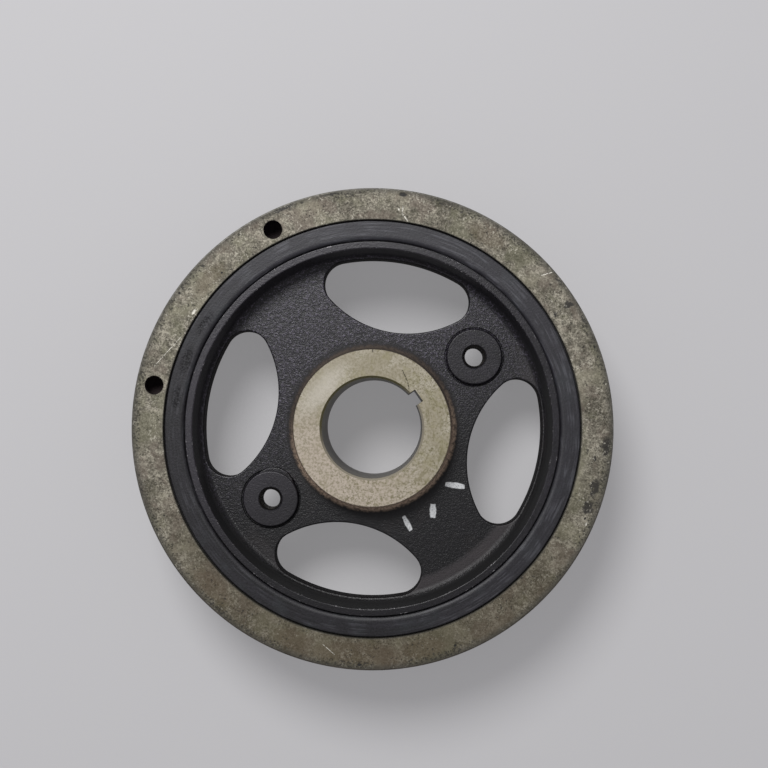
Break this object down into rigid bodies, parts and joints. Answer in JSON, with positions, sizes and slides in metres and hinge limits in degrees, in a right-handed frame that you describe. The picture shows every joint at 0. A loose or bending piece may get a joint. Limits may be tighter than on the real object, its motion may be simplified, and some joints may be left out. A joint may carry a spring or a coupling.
{
  "type": "crankshaft pulley",
  "caption": "Engine crankshaft pulley: windowed iron hub with a keyed bore, bonded rubber ring and a grooved inertia ring that drives the ribbed belt and damps torsional vibration.",
  "frame": {"origin": "on the bore axis at the hub's rear end face, which seats on the crankshaft and on which the part lies", "axes": "+Z along the bore towards the front of the engine; windows centred on the X and Y axes; keyway and puller holes on the line at 45 degrees from +X to +Y"},
  "size_m": [0.172, 0.172, 0.038],
  "materials": {
    "black_iron": "sand-cast skin under satin black paint, with machined bare faces at the bore",
    "rubber": "matt moulded rubber with dusty streaks",
    "bare_iron": "turned bare iron, dulled, stained and pitted by rust"
  },
  "bodies": {
    "root": {"hub": "black_iron", "damper_rubber": "rubber", "inertia_ring": "bare_iron"}
  },
  "joints": []
}
